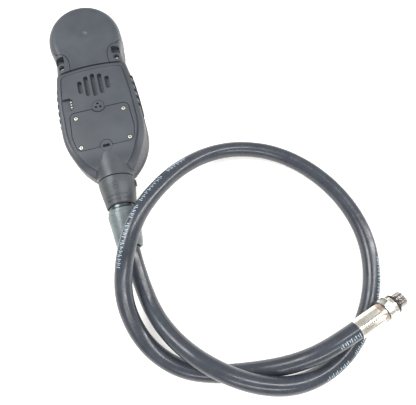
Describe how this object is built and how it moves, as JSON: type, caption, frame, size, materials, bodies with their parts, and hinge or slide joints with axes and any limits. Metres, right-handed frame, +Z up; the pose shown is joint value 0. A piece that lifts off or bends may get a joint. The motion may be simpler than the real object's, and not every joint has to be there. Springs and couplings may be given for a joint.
{
  "type": "dive instrument console",
  "caption": "Hose-mounted underwater instrument console with a display, a compass end and a battery door, on a swivelling high pressure hose with a threaded end fitting.",
  "frame": {"origin": "under the middle of the console's own bounding box, on the surface it rests on", "axes": "+Y from the hose end to the compass end along the console, +Z up out of its back, +X across it to the right seen from its back"},
  "size_m": [0.2241, 0.3659, 0.0457],
  "materials": {
    "shell_grey": "fine moulded texture",
    "cover_grey": "fine moulded texture",
    "dark_plastic": "satin",
    "rubber_soft": "matte",
    "hose_rubber": "satin",
    "boot_rubber": "satin",
    "o_ring": "satin",
    "steel": "bright passivated",
    "nickel": "worn nickel plate",
    "brass": "turned",
    "clear": "clear",
    "lcd_green": "liquid crystal cell",
    "board_green": "solder mask",
    "card_white": "luminous print",
    "cell_wrap": "shrink wrap",
    "gold": "gold plated contact"
  },
  "bodies": {
    "console": {"rear_shell": "shell_grey", "front_shell": "dark_plastic", "compass_cover": "cover_grey", "corner_insert_left": "cover_grey", "corner_insert_right": "cover_grey", "side_grip_left": "rubber_soft", "side_grip_right": "rubber_soft", "corner_screws": "steel", "battery_door_screws": "steel", "battery_door": "shell_grey", "battery_door_seal": "o_ring", "battery_cell": "cell_wrap", "battery_contacts": "gold", "sensor_cap": "shell_grey", "depth_sensor": "steel", "relief_plug": "shell_grey", "data_port_block": "dark_plastic", "data_port_pins": "steel", "display_lens": "clear", "lens_gasket": "o_ring", "lcd_module": "lcd_green", "circuit_board": "board_green", "board_screws": "steel", "tact_switches": "dark_plastic", "buzzer": "brass", "compass_crystal": "clear", "compass_bowl": "dark_plastic", "compass_pivot": "steel", "pressure_fitting": "brass", "pressure_transducer": "steel"},
    "hose": {"swivel_stem": "nickel", "stem_seals": "o_ring", "retaining_clip": "steel", "inner_ferrule": "nickel", "hose_boot": "boot_rubber", "hose": "hose_rubber", "end_ferrule": "nickel", "end_fitting": "nickel", "end_seal": "o_ring"},
    "lock_ring": {"lock_ring": "dark_plastic"},
    "button_left": {"button_left": "rubber_soft"},
    "button_right": {"button_right": "rubber_soft"},
    "compass_bezel": {"compass_bezel": "dark_plastic"},
    "compass_card": {"compass_card": "card_white"}
  },
  "joints": [
    {"name": "hose_swivel", "type": "hinge", "parent": "console", "child": "hose", "pos_m": [0, -0.085, 0.017], "axis": [0, 1, 0], "continuous": true},
    {"name": "lock_ring_turn", "type": "hinge", "parent": "console", "child": "lock_ring", "pos_m": [0, -0.085, 0.017], "axis": [0, 1, 0], "range_deg": [0, 60]},
    {"name": "button_left_press", "type": "slide", "parent": "console", "child": "button_left", "axis": [0, 0, 1], "range_m": [0, 0.001], "stiffness_N_per_m": 800, "springref_m": -0.0005},
    {"name": "button_right_press", "type": "slide", "parent": "console", "child": "button_right", "axis": [0, 0, 1], "range_m": [0, 0.001], "stiffness_N_per_m": 800, "springref_m": -0.0005},
    {"name": "bezel_turn", "type": "hinge", "parent": "console", "child": "compass_bezel", "pos_m": [0, 0.0634, 0.003], "axis": [0, 0, 1], "continuous": true},
    {"name": "compass_card_turn", "type": "hinge", "parent": "console", "child": "compass_card", "pos_m": [0, 0.0634, 0.006], "axis": [0, 0, 1], "continuous": true}
  ]
}
